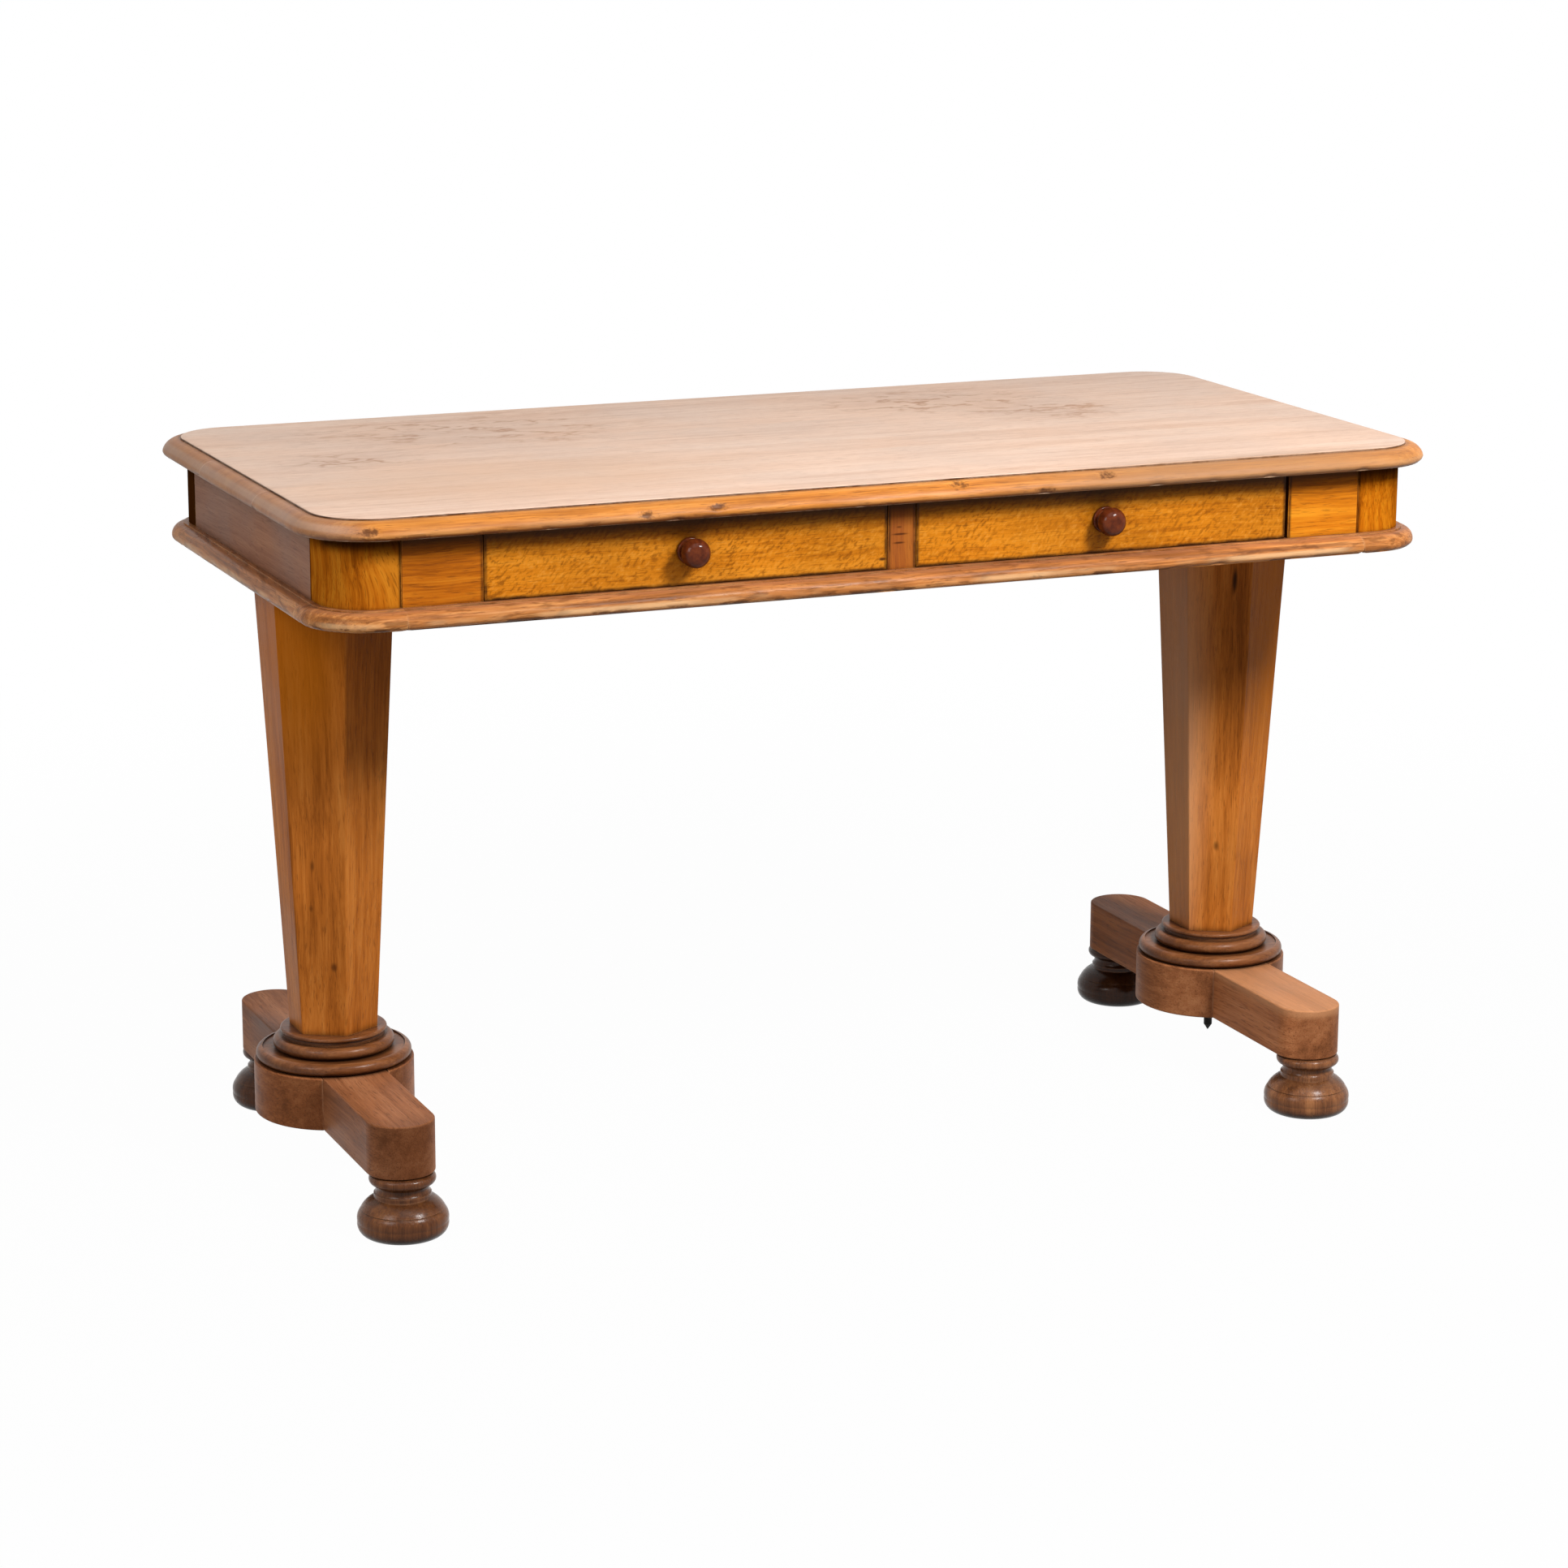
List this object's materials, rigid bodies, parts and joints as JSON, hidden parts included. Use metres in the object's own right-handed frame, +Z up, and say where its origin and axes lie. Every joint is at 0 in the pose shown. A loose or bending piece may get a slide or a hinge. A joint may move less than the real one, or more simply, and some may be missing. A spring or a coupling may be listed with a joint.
{
  "type": "writing table",
  "caption": "Oak writing table: rounded moulded top, frieze drawers with turned knobs, tapered hexagonal pedestal columns on turned collars, bar bases and bun feet.",
  "frame": {"origin": "on the floor, under the middle of the top", "axes": "+X along the length, to the right of a person facing the drawers; -Y towards that person; +Z up"},
  "size_m": [1.228, 0.606, 0.734],
  "materials": {
    "top_oak": "pale worn oak, dry wax",
    "frieze_oak": "honey oak, old polish",
    "drawer_front_oak": "figured honey oak, old polish",
    "moulding_oak": "brown oak, worn on the nose",
    "column_oak": "warm brown oak, polished",
    "pedestal_oak": "red-brown oak, satin",
    "foot_oak": "dark brown oak, glossy",
    "knob_wood": "dark red-brown turned wood, glossy",
    "inner_pine": "bare aged softwood",
    "iron": "blackened iron"
  },
  "bodies": {
    "table": {"back_rail": "frieze_oak", "base_bar_left": "pedestal_oak", "base_bar_right": "pedestal_oak", "base_cheek_inner_left": "pedestal_oak", "base_cheek_inner_right": "pedestal_oak", "base_cheek_outer_left": "pedestal_oak", "base_cheek_outer_right": "pedestal_oak", "base_corner_back_left": "moulding_oak", "base_corner_back_right": "moulding_oak", "base_corner_front_left": "moulding_oak", "base_corner_front_right": "moulding_oak", "base_rail_back": "moulding_oak", "base_rail_front": "moulding_oak", "base_rail_left": "moulding_oak", "base_rail_right": "moulding_oak", "centre_muntin": "frieze_oak", "collar_left": "pedestal_oak", "collar_right": "pedestal_oak", "column_left": "column_oak", "column_right": "column_oak", "corner_block_back_left": "frieze_oak", "corner_block_back_right": "frieze_oak", "corner_block_front_left": "frieze_oak", "corner_block_front_right": "frieze_oak", "cross_bearer_left": "inner_pine", "cross_bearer_right": "inner_pine", "drawer_guides": "inner_pine", "drawer_runner_centre": "inner_pine", "drawer_runner_left": "inner_pine", "drawer_runner_right": "inner_pine", "drawer_stops": "inner_pine", "end_rail_left": "frieze_oak", "end_rail_right": "frieze_oak", "foot_back_left": "foot_oak", "foot_back_right": "foot_oak", "foot_front_left": "foot_oak", "foot_front_right": "foot_oak", "front_block_left": "frieze_oak", "front_block_right": "frieze_oak", "glue_blocks": "inner_pine", "tie_bolts": "iron", "tie_nuts": "iron", "tie_washers": "iron", "top_board_back": "top_oak", "top_board_front": "top_oak", "top_board_middle": "top_oak", "top_screws": "iron"},
    "left_drawer": {"left_drawer_back": "inner_pine", "left_drawer_bottom": "inner_pine", "left_drawer_front": "drawer_front_oak", "left_drawer_knob": "knob_wood", "left_drawer_side_left": "inner_pine", "left_drawer_side_right": "inner_pine"},
    "right_drawer": {"right_drawer_back": "inner_pine", "right_drawer_bottom": "inner_pine", "right_drawer_front": "drawer_front_oak", "right_drawer_knob": "knob_wood", "right_drawer_side_left": "inner_pine", "right_drawer_side_right": "inner_pine"}
  },
  "joints": [
    {"name": "left_drawer_slide", "type": "slide", "parent": "table", "child": "left_drawer", "axis": [0, -1, 0], "range_m": [0, 0.32]},
    {"name": "right_drawer_slide", "type": "slide", "parent": "table", "child": "right_drawer", "axis": [0, -1, 0], "range_m": [0, 0.32]}
  ]
}
